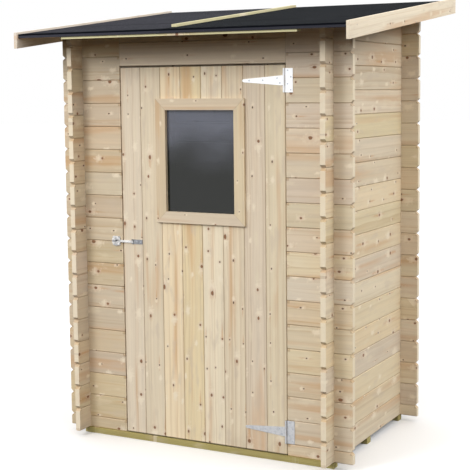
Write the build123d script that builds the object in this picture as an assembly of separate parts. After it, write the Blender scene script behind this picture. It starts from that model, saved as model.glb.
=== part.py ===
from build123d import *

import os
from math import atan, ceil, cos

# Wooden garden shed of interlocking boards. Millimetres, +Z up, the front wall faces -Y.
# All shapes are drawn about the middle of the walls and moved to the frame's origin on export.

# Walls
BOARD_COVER = 114.0  # height that one wall board takes up
BOARD_THICK = 26.0
TONGUE = 10.0  # stands above a board's cover where no board lies on it
WALL_WIDTH = 1388.0  # outer faces of the side walls
WALL_DEPTH = 900.0  # outer faces of the front and rear walls
END_REACH = 93.0  # how far the board ends run past the crossing wall
FRONT_ROWS = 17  # whole boards above the half board in the front wall
REAR_ROWS = 18
FIT_GAP = 0.4  # gap between neighbouring boards
SEAT_GAP = 0.05  # between sloped faces that rest on each other
EDGE_CUT = 3.5  # bevel along the long edges, which makes the V joint
TIP_HEIGHT = 4.0  # least height of the side walls' sloping top boards
END_CUT = 13.0  # bevel on the corners of each board end

# Ground frame and floor
BEARER_HEIGHT = 28.0
BEARER_DEPTH = 45.0
BEARER_REACH = 1.0  # past the side walls
BEARER_SET = 9.0  # front bearer's front face ahead of the front wall
MIDDLE_BEARER_Y = -22.0
FLOOR_THICK = 18.0
FLOOR_GAP = 2.0
FLOOR_BOARDS = 9

# Doorway and door
DOOR_CENTRE = 4.5
DOORWAY_WIDTH = 906.0
DOOR_ROWS = 16
DOOR_CLEAR = 5.0
DOOR_THICK = 19.0
DOOR_BOARD_WIDTH = 113.2  # the last board is cut to fit
DOOR_EDGE_CUT = 2.5
LEDGE_HEIGHT = 90.0
LEDGE_THICK = 19.0
BRACE_WIDTH = 95.0
BRACE_INSET = 60.0  # from the ends of the ledges
POST_WIDTH = 45.0
POST_THICK = 28.0
POST_OVERLAP = 14.0  # how far the frame reaches behind the door's edge

# Window in the door
WINDOW_X = 3.0
GLASS_WIDTH = 375.0
GLASS_HEIGHT = 490.0
GLASS_SET = 212.0  # glass top below the doorway's top
GLASS_THICK = 4.0
GLASS_HOLD = 9.0  # how far the pane reaches past the sight edge
GLASS_PLAY = 0.5
GLASS_DEEP = 6.0  # pane behind the door's front face
TRIM_WIDTH = 54.5
TRIM_THICK = 12.0

# Hinges
HINGE_INSET = 8.0  # hinge pin to the doorway's right edge
STRAP_LENGTH = 215.0
STRAP_ROOT = 46.0
STRAP_TIP = 14.0
LEAF_THICK = 2.5
PLATE_HEIGHT = 110.0
PLATE_WIDTH = 44.0
KNUCKLE_R = 5.0
PIN_R = 2.6
PIN_CLEAR = 0.1
KNUCKLE_GAP = 0.5
UPPER_HINGE_SET = 77.0  # below the doorway's top
LOWER_HINGE_Z = 115.0

# Hasp on the door and turning staple on the wall
HASP_Z = 973.0
HASP_SET = 54.0  # hasp pin to the door's left edge
HASP_LEAF = 58.0
HASP_LEAF_HEIGHT = 22.0
HASP_NECK = 12.0
HASP_PIN_R = 1.8
HASP_KNUCKLE_R = 4.0
HASP_END_R = 25.0
SLOT_LENGTH = 38.0
SLOT_HEIGHT = 16.0
STAPLE_SET = 36.0  # staple to the doorway's left edge
STAPLE_PLATE = 46.0
STAPLE_CORNER = 5.0
STAPLE_LIFT = 1.2  # hasp above the staple's plate
STAPLE_PIN_R = 4.0
EYE_WIDTH = 20.0
EYE_THICK = 4.0
EYE_HOLE_R = 5.5
EYE_STANDOFF = 5.0  # eye above the hasp

# Roof
ROOF_SIDE = 188.0  # past the side walls
ROOF_FRONT = 247.0  # past the front wall
ROOF_REAR = 278.0
ROOF_BOARDS = 16
ROOF_BOARD_THICK = 16.0
FELT_THICK = 2.5
BARGE_THICK = 18.0
BARGE_HEIGHT = 77.0
BARGE_RISE = 9.5  # barge board's top above the felt
BARGE_AHEAD = 12.0  # ahead of the felt's front edge
SEAM_X = -60.0
SEAM_SET = 130.0  # seam batten's front end behind the roof's front edge
SEAM_WIDTH = 28.0
SEAM_THICK = 12.0
EAVES_HEIGHT = 12.0
EAVES_DEPTH = 40.0
EAVES_SHORT = 47.0  # from the side walls' inner faces to the battens' ends
EAVES_SET = 6.0
EAVES_CENTRE = 6.5

FOOT = BEARER_HEIGHT
FRONT = -WALL_DEPTH / 2
REAR = WALL_DEPTH / 2
SIDE = WALL_WIDTH / 2
ROOF_HALF_WIDTH = SIDE + ROOF_SIDE
RISE = (REAR_ROWS - FRONT_ROWS) * BOARD_COVER / (WALL_DEPTH - BOARD_THICK)
PITCH = atan(RISE)
FRONT_TOP = FOOT + (FRONT_ROWS + 0.5) * BOARD_COVER + TONGUE
DOOR_LEFT = DOOR_CENTRE - DOORWAY_WIDTH / 2
DOOR_RIGHT = DOOR_CENTRE + DOORWAY_WIDTH / 2
DOORWAY_TOP = FOOT + DOOR_ROWS * BOARD_COVER + TONGUE
ROOF_FRONT_Y = FRONT - ROOF_FRONT
ROOF_REAR_Y = REAR + ROOF_REAR
TO_FRAME = Pos(0, -(ROOF_FRONT_Y + ROOF_REAR_Y) / 2, 0)


def block(x0, x1, y0, y1, z0, z1):
    """A box between two corners."""
    return Pos((x0 + x1) / 2, (y0 + y1) / 2, (z0 + z1) / 2) * Box(x1 - x0, y1 - y0, z1 - z0)


def along_x(points, x0, x1):
    """Extrudes an outline of (y, z) points from x0 to x1."""
    face = Plane.YZ * make_face(Polyline(*points, close=True))
    return Pos(x0, 0, 0) * extrude(face, x1 - x0, dir=(1, 0, 0))


def along_y(points, y0, y1):
    """Extrudes an outline of (x, z) points from y0 to y1."""
    face = make_face(Polyline(*[(x, 0, z) for x, z in points], close=True))
    return Pos(0, y0, 0) * extrude(face, y1 - y0, dir=(0, 1, 0))


def roof_under(y):
    """Height of the roof boards' underside at depth y."""
    return FRONT_TOP + (y - FRONT) * RISE


def board_outline(start, end, low, high, crossings, cut_start, cut_end, notch_low, cut_low, extra=0):
    """Side view of a wall board: bevelled free ends, notches where walls cross, extra height on top.

    notch_low and cut_low say if the lower edge has notches and if the lower corners are bevelled.
    """
    half = BOARD_THICK / 2 + FIT_GAP / 2
    depth = BOARD_COVER / 4
    low += FIT_GAP / 2
    high -= FIT_GAP / 2
    top = high + extra
    points = [(start + (END_CUT if cut_start and cut_low else 0), low)]
    for u in sorted(crossings):
        if notch_low:
            points += [(u - half, low), (u - half, low + depth), (u + half, low + depth), (u + half, low)]
    if cut_end and cut_low:
        points += [(end - END_CUT, low), (end, low + END_CUT)]
    else:
        points += [(end, low)]
    if cut_end:
        points += [(end, top - END_CUT), (end - END_CUT, top)]
    else:
        points += [(end, top)]
    for u in sorted(crossings, reverse=True):
        points += [(u + half, top), (u + half, high - depth), (u - half, high - depth), (u - half, top)]
    if cut_start:
        points += [(start + END_CUT, top), (start, top - END_CUT)]
    else:
        points += [(start, top)]
    if cut_start and cut_low:
        points += [(start, low + END_CUT)]
    return points


def board_section(middle, low, high, inner_cut=True):
    """End view of a wall board about its middle plane, bevelled on its first face and on both if asked."""
    near = middle - BOARD_THICK / 2
    far = middle + BOARD_THICK / 2
    low += FIT_GAP / 2
    high -= FIT_GAP / 2
    points = [
        (near + EDGE_CUT, high),
        (near, high - EDGE_CUT),
        (near, low + EDGE_CUT),
        (near + EDGE_CUT, low),
    ]
    if not inner_cut:
        return points + [(far, low), (far, high)]
    return points + [
        (far - EDGE_CUT, low),
        (far, low + EDGE_CUT),
        (far, high - EDGE_CUT),
        (far - EDGE_CUT, high),
    ]


def side_wall(sign):
    """Boards of one side wall, whole board at the bottom, the top ones cut to the roof's slope."""
    middle = sign * (SIDE - BOARD_THICK / 2)
    crossings = [FRONT + BOARD_THICK / 2, REAR - BOARD_THICK / 2]
    ends = [FRONT - END_REACH, REAR + END_REACH]
    sky = FRONT_TOP + 2 * WALL_DEPTH
    above = [(y, roof_under(y) - FIT_GAP / 2) for y in (ends[0] - END_REACH, ends[1] + END_REACH)]
    above += [(above[1][0], sky), (above[0][0], sky)]
    roof_space = along_x(above, middle - 2 * BOARD_THICK, middle + 2 * BOARD_THICK)
    boards = []
    row = 0
    while FOOT + row * BOARD_COVER < roof_under(ends[1]) - 2 * TIP_HEIGHT:
        low = FOOT + row * BOARD_COVER
        high = low + BOARD_COVER
        tip = FRONT + (low + TIP_HEIGHT + FIT_GAP - FRONT_TOP) / RISE
        start = max(ends[0], tip)
        here = [u for u in crossings if u > start]
        outline = board_outline(start, ends[1], low, high, here, start == ends[0], True, True, row > 0)
        board = along_x(outline, middle - BOARD_THICK, middle + BOARD_THICK)
        board &= along_y(board_section(middle, low, high), *ends)
        if high > roof_under(ends[0]) - FIT_GAP:
            board -= roof_space
        boards += board.solids()
        row += 1
    return boards


def cross_board(middle, start, end, row, crossings, cut_start, cut_end, inner_cut, extra):
    """One board of the front or rear wall. Row 0 is the half board at the bottom."""
    low = FOOT + max(row - 0.5, 0) * BOARD_COVER
    high = FOOT + (row + 0.5) * BOARD_COVER
    outline = board_outline(start, end, low, high, crossings, cut_start, cut_end, row > 0, row > 0, extra)
    board = along_y(outline, middle - BOARD_THICK, middle + BOARD_THICK)
    board &= along_x(board_section(middle, low, high + extra, inner_cut), start, end)
    return board


def cross_boards(middle, start, end, rows, crossings, cut_start, cut_end, inner_cut):
    """All boards of the front or rear wall between two ends, the top one with its tongue."""
    boards = []
    for row in range(rows + 1):
        extra = TONGUE if row == rows else 0
        boards.append(
            cross_board(middle, start, end, row, crossings, cut_start, cut_end, inner_cut, extra)
        )
    return boards


def front_part(start, end, crossing, cut_start, cut_end):
    """Boards of the front wall on one side of the doorway."""
    middle = FRONT + BOARD_THICK / 2
    return cross_boards(middle, start, end, FRONT_ROWS, [crossing], cut_start, cut_end, False)


def rear_wall():
    """Boards of the rear wall, half board at the bottom."""
    middle = REAR - BOARD_THICK / 2
    reach = SIDE + END_REACH
    crossings = [-SIDE + BOARD_THICK / 2, SIDE - BOARD_THICK / 2]
    return cross_boards(middle, -reach, reach, REAR_ROWS, crossings, True, True, True)


def header():
    """Two boards over the doorway: a whole one and the part board above it."""
    x0 = DOOR_LEFT + FIT_GAP
    x1 = DOOR_RIGHT - FIT_GAP
    middle = FRONT + BOARD_THICK / 2
    split = DOORWAY_TOP + BOARD_COVER
    return [
        along_x(board_section(middle, DOORWAY_TOP, split, False), x0, x1),
        along_x(board_section(middle, split, FRONT_TOP, False), x0, x1),
    ]


def bearers():
    """Three bearers on the ground, from front to rear."""
    starts = {
        "bearer_front": FRONT - BEARER_SET,
        "bearer_middle": MIDDLE_BEARER_Y - BEARER_DEPTH / 2,
        "bearer_rear": REAR - BEARER_SET - BEARER_DEPTH,
    }
    reach = SIDE + BEARER_REACH
    return {
        name: [block(-reach, reach, y0, y0 + BEARER_DEPTH, 0, BEARER_HEIGHT)] for name, y0 in starts.items()
    }


def floor_boards():
    """Floor of boards that run from front to rear inside the walls."""
    inner = SIDE - BOARD_THICK - FLOOR_GAP
    depth = WALL_DEPTH / 2 - BOARD_THICK - FLOOR_GAP
    pitch = 2 * inner / FLOOR_BOARDS
    boards = []
    for index in range(FLOOR_BOARDS):
        x0 = -inner + index * pitch
        boards.append(
            block(x0 + FIT_GAP / 2, x0 + pitch - FIT_GAP / 2, -depth, depth, FOOT, FOOT + FLOOR_THICK)
        )
    return boards


def door_frame():
    """Posts and head behind the front wall, which hold the cut board ends and stop the door."""
    y0 = FRONT + BOARD_THICK + FIT_GAP
    y1 = y0 + POST_THICK
    low = FOOT + FLOOR_THICK + FIT_GAP
    top = DOORWAY_TOP - POST_OVERLAP
    left = DOOR_LEFT + POST_OVERLAP
    right = DOOR_RIGHT - POST_OVERLAP
    return {
        "door_post_left": [block(left - POST_WIDTH, left, y0, y1, low, top - FIT_GAP)],
        "door_post_right": [block(right, right + POST_WIDTH, y0, y1, low, top - FIT_GAP)],
        "door_head": [block(left - POST_WIDTH, right + POST_WIDTH, y0, y1, top, top + POST_WIDTH)],
    }


DOOR_X0 = DOOR_LEFT + DOOR_CLEAR
DOOR_X1 = DOOR_RIGHT - DOOR_CLEAR
DOOR_Z0 = FOOT + DOOR_CLEAR
DOOR_Z1 = DOORWAY_TOP - DOOR_CLEAR
DOOR_BACK = FRONT + DOOR_THICK
GLASS_Z1 = DOORWAY_TOP - GLASS_SET
GLASS_Z0 = GLASS_Z1 - GLASS_HEIGHT


def window_hole(grow):
    """Block through the door at the glass, larger by grow on every side."""
    half = GLASS_WIDTH / 2 + grow
    front = FRONT - DOOR_THICK
    back = DOOR_BACK + DOOR_THICK
    return block(WINDOW_X - half, WINDOW_X + half, front, back, GLASS_Z0 - grow, GLASS_Z1 + grow)


def door_boards():
    """Upright boards of the door with bevelled edges, cut through for the window."""
    boards = []
    for index in range(ceil((DOOR_X1 - DOOR_X0) / DOOR_BOARD_WIDTH)):
        x0 = DOOR_X0 + index * DOOR_BOARD_WIDTH + FIT_GAP / 2
        x1 = min(x0 + DOOR_BOARD_WIDTH - FIT_GAP, DOOR_X1)
        corners = [
            (x0, DOOR_BACK),
            (x0, FRONT + DOOR_EDGE_CUT),
            (x0 + DOOR_EDGE_CUT, FRONT),
            (x1 - DOOR_EDGE_CUT, FRONT),
            (x1, FRONT + DOOR_EDGE_CUT),
            (x1, DOOR_BACK),
        ]
        face = make_face(Polyline(*[(x, y, DOOR_Z0) for x, y in corners], close=True))
        board = extrude(face, DOOR_Z1 - DOOR_Z0, dir=(0, 0, 1)) - window_hole(GLASS_HOLD + GLASS_PLAY)
        boards += board.solids()
    return boards


LEDGE_X0 = DOOR_LEFT + POST_OVERLAP + DOOR_CLEAR
LEDGE_X1 = DOOR_RIGHT - POST_OVERLAP - DOOR_CLEAR
LOW_LEDGE_Z = FOOT + LOWER_HINGE_Z
MIDDLE_LEDGE_Z = GLASS_Z0 - TRIM_WIDTH - LEDGE_HEIGHT
HIGH_LEDGE_Z = DOORWAY_TOP - UPPER_HINGE_SET - POST_OVERLAP


def door_ledges():
    """Level battens that hold the door's boards together on the inside."""
    half = LEDGE_HEIGHT / 2
    y1 = DOOR_BACK + LEDGE_THICK
    middles = (LOW_LEDGE_Z, MIDDLE_LEDGE_Z, HIGH_LEDGE_Z)
    return [block(LEDGE_X0, LEDGE_X1, DOOR_BACK, y1, z - half, z + half) for z in middles]


def door_brace():
    """Sloping brace between the low and middle ledges, foot on the hinge side."""
    foot = LEDGE_X1 - BRACE_INSET
    head = LEDGE_X0 + BRACE_INSET
    z0 = LOW_LEDGE_Z + LEDGE_HEIGHT / 2 + FIT_GAP / 2
    z1 = MIDDLE_LEDGE_Z - LEDGE_HEIGHT / 2 - FIT_GAP / 2
    outline = [(foot, z0), (head + BRACE_WIDTH, z1), (head, z1), (foot - BRACE_WIDTH, z0)]
    return [along_y(outline, DOOR_BACK, DOOR_BACK + LEDGE_THICK)]


def ring(half_width, z0, z1, width, y0, y1):
    """Four flat strips round the window, mitred at the corners."""
    x0 = WINDOW_X - half_width
    x1 = WINDOW_X + half_width
    gap = FIT_GAP / 2
    left = x0 - width
    right = x1 + width
    low = z0 - width
    high = z1 + width
    strips = [
        [(left + gap, high), (right - gap, high), (x1 - gap, z1), (x0 + gap, z1)],
        [(left + gap, low), (x0 + gap, z0), (x1 - gap, z0), (right - gap, low)],
        [(left, low + gap), (left, high - gap), (x0, z1 - gap), (x0, z0 + gap)],
        [(right, low + gap), (x1, z0 + gap), (x1, z1 - gap), (right, high - gap)],
    ]
    return [along_y(outline, y0, y1) for outline in strips]


def window():
    """Trim on both faces of the door, and the pane between the beads that hold it."""
    z0 = GLASS_Z0
    z1 = GLASS_Z1
    half = GLASS_WIDTH / 2
    hold = GLASS_HOLD
    gap = FIT_GAP / 2
    pane_front = FRONT + GLASS_DEEP
    pane_back = pane_front + GLASS_THICK
    pane_x0 = WINDOW_X - half - hold
    pane_x1 = WINDOW_X + half + hold
    return {
        "window_trim_outside": ring(half, z0, z1, TRIM_WIDTH, FRONT - TRIM_THICK, FRONT),
        "window_trim_inside": ring(half, z0, z1, TRIM_WIDTH, DOOR_BACK, DOOR_BACK + TRIM_THICK),
        "window_beads": ring(half, z0, z1, hold, FRONT + gap, pane_front - gap)
        + ring(half, z0, z1, hold, pane_back + gap, DOOR_BACK - gap),
        "window_pane": [block(pane_x0, pane_x1, pane_front, pane_back, z0 - hold, z1 + hold)],
    }


HINGE_X = DOOR_RIGHT - HINGE_INSET
HINGE_Y = FRONT - KNUCKLE_R - KNUCKLE_GAP
HASP_X = DOOR_X0 + HASP_SET
HASP_Y = FRONT - HASP_KNUCKLE_R - KNUCKLE_GAP
HASP_BACK = FRONT - LEAF_THICK - STAPLE_LIFT
STAPLE_X = DOOR_LEFT - STAPLE_SET


def rod(x, y, z0, z1, radius):
    """Upright cylinder."""
    return Pos(x, y, (z0 + z1) / 2) * Cylinder(radius, z1 - z0)


def knuckles(x, y, z, moving, total, outer, pin):
    """Two fixed knuckles, the moving one between them, and the pin that runs through all three."""
    bore = rod(x, y, z - total, z + total, pin + PIN_CLEAR)
    inner_end = moving / 2 + KNUCKLE_GAP
    fixed = rod(x, y, z - total / 2, z - inner_end, outer) + rod(x, y, z + inner_end, z + total / 2, outer)
    turning = rod(x, y, z - moving / 2, z + moving / 2, outer)
    return fixed, turning, rod(x, y, z - total / 2, z + total / 2, pin), bore


def fixed_leaf(x, radius, rest, end, z, moving, total):
    """Leaf to the right of a pin, flat from rest to end, raised and cut away round the moving knuckle."""
    front = FRONT - LEAF_THICK
    back = FRONT - KNUCKLE_GAP
    root = x + radius + KNUCKLE_GAP
    z0 = z - total / 2
    z1 = z + total / 2
    room = moving / 2 + KNUCKLE_GAP
    leaf = block(rest, end, front, FRONT, z0, z1) + block(root, rest, front, back, z0, z1)
    leaf += block(x, root, front, back, z0, z - room)
    return leaf + block(x, root, front, back, z + room, z1)


def hinge(z):
    """One T hinge: a tapering strap on the door, a plate on the wall and a pin through the knuckles."""
    fixed, turning, pin, bore = knuckles(HINGE_X, HINGE_Y, z, STRAP_ROOT, PLATE_HEIGHT, KNUCKLE_R, PIN_R)
    half_root = STRAP_ROOT / 2
    half_tip = STRAP_TIP / 2
    tip_x = HINGE_X - STRAP_LENGTH
    outline = [
        (HINGE_X, z - half_root),
        (HINGE_X, z + half_root),
        (HINGE_X - 2 * KNUCKLE_R, z + half_root),
        (tip_x + half_tip, z + half_tip),
        (tip_x, z + half_tip / 2),
        (tip_x, z - half_tip / 2),
        (tip_x + half_tip, z - half_tip),
        (HINGE_X - 2 * KNUCKLE_R, z - half_root),
    ]
    strap = along_y(outline, FRONT - LEAF_THICK, FRONT) + turning - bore
    rest = DOOR_RIGHT + KNUCKLE_GAP
    end = HINGE_X + PLATE_WIDTH
    plate = fixed_leaf(HINGE_X, KNUCKLE_R, rest, end, z, STRAP_ROOT, PLATE_HEIGHT) + fixed - bore
    return strap.solids(), plate.solids(), pin.solids()


def hasp():
    """Hasp: a leaf on the door, and a strap that swings on a pin and ends in a slotted disc."""
    z = FOOT + HASP_Z
    fixed, turning, pin, bore = knuckles(
        HASP_X, HASP_Y, z, HASP_NECK, HASP_LEAF_HEIGHT, HASP_KNUCKLE_R, HASP_PIN_R
    )
    rest = HASP_X + HASP_KNUCKLE_R + 2 * KNUCKLE_GAP
    end = HASP_X + HASP_LEAF
    leaf = fixed_leaf(HASP_X, HASP_KNUCKLE_R, rest, end, z, HASP_NECK, HASP_LEAF_HEIGHT) + fixed - bore
    half = HASP_NECK / 2
    front = HASP_BACK - LEAF_THICK
    strap = block(STAPLE_X, HASP_X - HASP_PIN_R - PIN_CLEAR, front, HASP_BACK, z - half, z + half)
    across = Pos(STAPLE_X, (front + HASP_BACK) / 2, z) * Rot(90, 0, 0)
    strap += across * Cylinder(HASP_END_R, LEAF_THICK)
    strap -= across * extrude(SlotOverall(SLOT_LENGTH, SLOT_HEIGHT), LEAF_THICK, both=True)
    strap = strap + turning - bore
    return leaf.solids(), strap.solids(), pin.solids()


def staple():
    """Turning staple: a plate on the wall, and a flat eye on a round neck that passes through the hasp."""
    z = FOOT + HASP_Z
    facing = Pos(STAPLE_X, FRONT, z) * Rot(90, 0, 0)
    plate = facing * extrude(RectangleRounded(STAPLE_PLATE, STAPLE_PLATE, STAPLE_CORNER), LEAF_THICK)
    plate -= facing * Cylinder(STAPLE_PIN_R + PIN_CLEAR, 4 * LEAF_THICK)
    eye_back = HASP_BACK - LEAF_THICK - EYE_STANDOFF
    neck_length = FRONT - FIT_GAP - eye_back + EYE_THICK / 2
    neck = Pos(STAPLE_X, FRONT - FIT_GAP - neck_length / 2, z) * Rot(90, 0, 0)
    eye = neck * Cylinder(STAPLE_PIN_R, neck_length)
    flat = Pos(STAPLE_X, eye_back - EYE_WIDTH / 2, z)
    eye += flat * Cylinder(EYE_WIDTH / 2, EYE_THICK)
    eye += flat * Pos(0, EYE_WIDTH / 4, 0) * Box(EYE_WIDTH, EYE_WIDTH / 2, EYE_THICK)
    eye -= flat * Cylinder(EYE_HOLE_R, 2 * EYE_THICK)
    return plate.solids(), eye.solids()


def sloped(x0, x1, y0, y1, up0, up1):
    """Plate on the roof's slope between two heights above the boards' underside, with upright ends."""
    corners = [(y0, up0), (y1, up0), (y1, up1), (y0, up1)]
    return along_x([(y, roof_under(y) + up) for y, up in corners], x0, x1)


BOARD_UP = ROOF_BOARD_THICK / cos(PITCH)
FELT_UP = BOARD_UP + FELT_THICK


def roof_boards():
    """Boards that run from front to rear between the barge boards."""
    inner = ROOF_HALF_WIDTH - BARGE_THICK
    pitch = 2 * inner / ROOF_BOARDS
    boards = []
    for index in range(ROOF_BOARDS):
        x0 = -inner + index * pitch + FIT_GAP / 2
        y0 = ROOF_FRONT_Y + FELT_THICK + SEAT_GAP
        y1 = ROOF_REAR_Y - FELT_THICK - SEAT_GAP
        boards.append(sloped(x0, x0 + pitch - FIT_GAP, y0, y1, 0, BOARD_UP - SEAT_GAP))
    return boards


def roof_felt():
    """Two sheets that meet under the seam batten and turn down over the boards' front and rear ends."""
    inner = ROOF_HALF_WIDTH - BARGE_THICK
    y0 = ROOF_FRONT_Y
    y1 = ROOF_REAR_Y
    sheets = []
    for x0, x1 in ((-inner, SEAM_X - FIT_GAP / 2), (SEAM_X + FIT_GAP / 2, inner)):
        corners = [
            (y0, 0),
            (y0, FELT_UP),
            (y1, FELT_UP),
            (y1, 0),
            (y1 - FELT_THICK, 0),
            (y1 - FELT_THICK, BOARD_UP),
            (y0 + FELT_THICK, BOARD_UP),
            (y0 + FELT_THICK, 0),
        ]
        sheets.append(along_x([(y, roof_under(y) + up) for y, up in corners], x0, x1))
    return sheets


def roof_edges():
    """Barge boards, battens under the eaves and the batten over the felt's seam."""
    top = FELT_UP + BARGE_RISE
    y0 = ROOF_FRONT_Y - BARGE_AHEAD
    inner = ROOF_HALF_WIDTH - BARGE_THICK
    outer = ROOF_HALF_WIDTH
    half = SEAM_WIDTH / 2
    start = ROOF_FRONT_Y + SEAM_SET
    eaves_half = SIDE - BOARD_THICK - EAVES_SHORT
    left = EAVES_CENTRE - eaves_half
    right = EAVES_CENTRE + eaves_half
    front = ROOF_FRONT_Y + EAVES_SET
    rear = ROOF_REAR_Y - EAVES_SET
    low = top - BARGE_HEIGHT
    seam_low = FELT_UP + SEAT_GAP
    seam_top = FELT_UP + SEAM_THICK
    return {
        "barge_board_left": [sloped(-outer, -inner, y0, ROOF_REAR_Y, low, top)],
        "barge_board_right": [sloped(inner, outer, y0, ROOF_REAR_Y, low, top)],
        "eaves_batten_front": [sloped(left, right, front, front + EAVES_DEPTH, -EAVES_HEIGHT, -SEAT_GAP)],
        "eaves_batten_rear": [sloped(left, right, rear - EAVES_DEPTH, rear, -EAVES_HEIGHT, -SEAT_GAP)],
        "roof_seam_batten": [sloped(SEAM_X - half, SEAM_X + half, start, ROOF_REAR_Y, seam_low, seam_top)],
    }


def parts():
    """Every node's name and its solids."""
    reach = SIDE + END_REACH
    left_cross = -SIDE + BOARD_THICK / 2
    right_cross = SIDE - BOARD_THICK / 2
    nodes = {
        **bearers(),
        "floor_boards": floor_boards(),
        "wall_left": side_wall(-1),
        "wall_right": side_wall(1),
        "wall_rear": rear_wall(),
        "wall_front_left": front_part(-reach, DOOR_LEFT, left_cross, True, False),
        "wall_front_right": front_part(DOOR_RIGHT, reach, right_cross, False, True),
        "wall_front_header": header(),
        **door_frame(),
        "door_boards": door_boards(),
        "door_ledges": door_ledges(),
        "door_brace": door_brace(),
        **window(),
        "roof_boards": roof_boards(),
        "roof_felt": roof_felt(),
        **roof_edges(),
    }
    for name, z in (("upper", DOORWAY_TOP - UPPER_HINGE_SET), ("lower", FOOT + LOWER_HINGE_Z)):
        strap, plate, pin = hinge(z)
        nodes[f"hinge_strap_{name}"] = strap
        nodes[f"hinge_plate_{name}"] = plate
        nodes[f"hinge_pin_{name}"] = pin
    nodes["hasp_leaf"], nodes["hasp_strap"], nodes["hasp_pin"] = hasp()
    nodes["staple_plate"], nodes["staple_eye"] = staple()
    return nodes


os.makedirs("parts", exist_ok=True)
for node, solids in parts().items():
    export_step(Compound([TO_FRAME * solid for solid in solids]), f"parts/{node}.step")
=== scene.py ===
import math

import bmesh
import bpy
from mathutils import Matrix, Vector


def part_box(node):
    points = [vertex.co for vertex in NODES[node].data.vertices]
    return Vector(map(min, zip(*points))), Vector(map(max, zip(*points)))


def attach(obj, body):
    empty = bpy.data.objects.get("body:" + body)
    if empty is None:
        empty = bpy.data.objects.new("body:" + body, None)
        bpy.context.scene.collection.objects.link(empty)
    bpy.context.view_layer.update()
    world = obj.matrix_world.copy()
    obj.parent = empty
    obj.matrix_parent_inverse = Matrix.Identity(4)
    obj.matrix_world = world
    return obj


# Garden shed of interlocking spruce boards: finishes, screws and nails, window, light and camera.
# Metres throughout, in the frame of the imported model.

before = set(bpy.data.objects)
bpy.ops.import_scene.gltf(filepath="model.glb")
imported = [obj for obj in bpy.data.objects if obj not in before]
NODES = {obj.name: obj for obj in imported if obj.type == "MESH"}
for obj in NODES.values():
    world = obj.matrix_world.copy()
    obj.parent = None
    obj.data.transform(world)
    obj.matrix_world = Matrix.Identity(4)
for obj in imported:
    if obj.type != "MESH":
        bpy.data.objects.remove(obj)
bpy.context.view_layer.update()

WALL_FOOT = 0.028
BOARD_COVER = 0.114
DOOR_BOARD_WIDTH = 0.1132
FLOOR_BOARDS = 9
ROOF_BOARDS = 16
TRIM_WIDTH = 0.0545
MID_Y = -0.0155  # middle of the walls from front to rear
WALL_HALF_DEPTH = 0.450
FRONT_Y = MID_Y - WALL_HALF_DEPTH  # outer face of the front wall
HINGE_THICK = 0.0025
ROOF_SLOPE = math.atan(114 / 874)  # rises one board over the depth between the walls' middles

ALONG_X = (1.0, 0.0, 0.0)
ALONG_Y = (0.0, 1.0, 0.0)
ALONG_Z = (0.0, 0.0, 1.0)
UP_SLOPE = (0.0, math.cos(ROOF_SLOPE), math.sin(ROOF_SLOPE))
OFF_SLOPE = (0.0, -math.sin(ROOF_SLOPE), math.cos(ROOF_SLOPE))


# Node work

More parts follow.
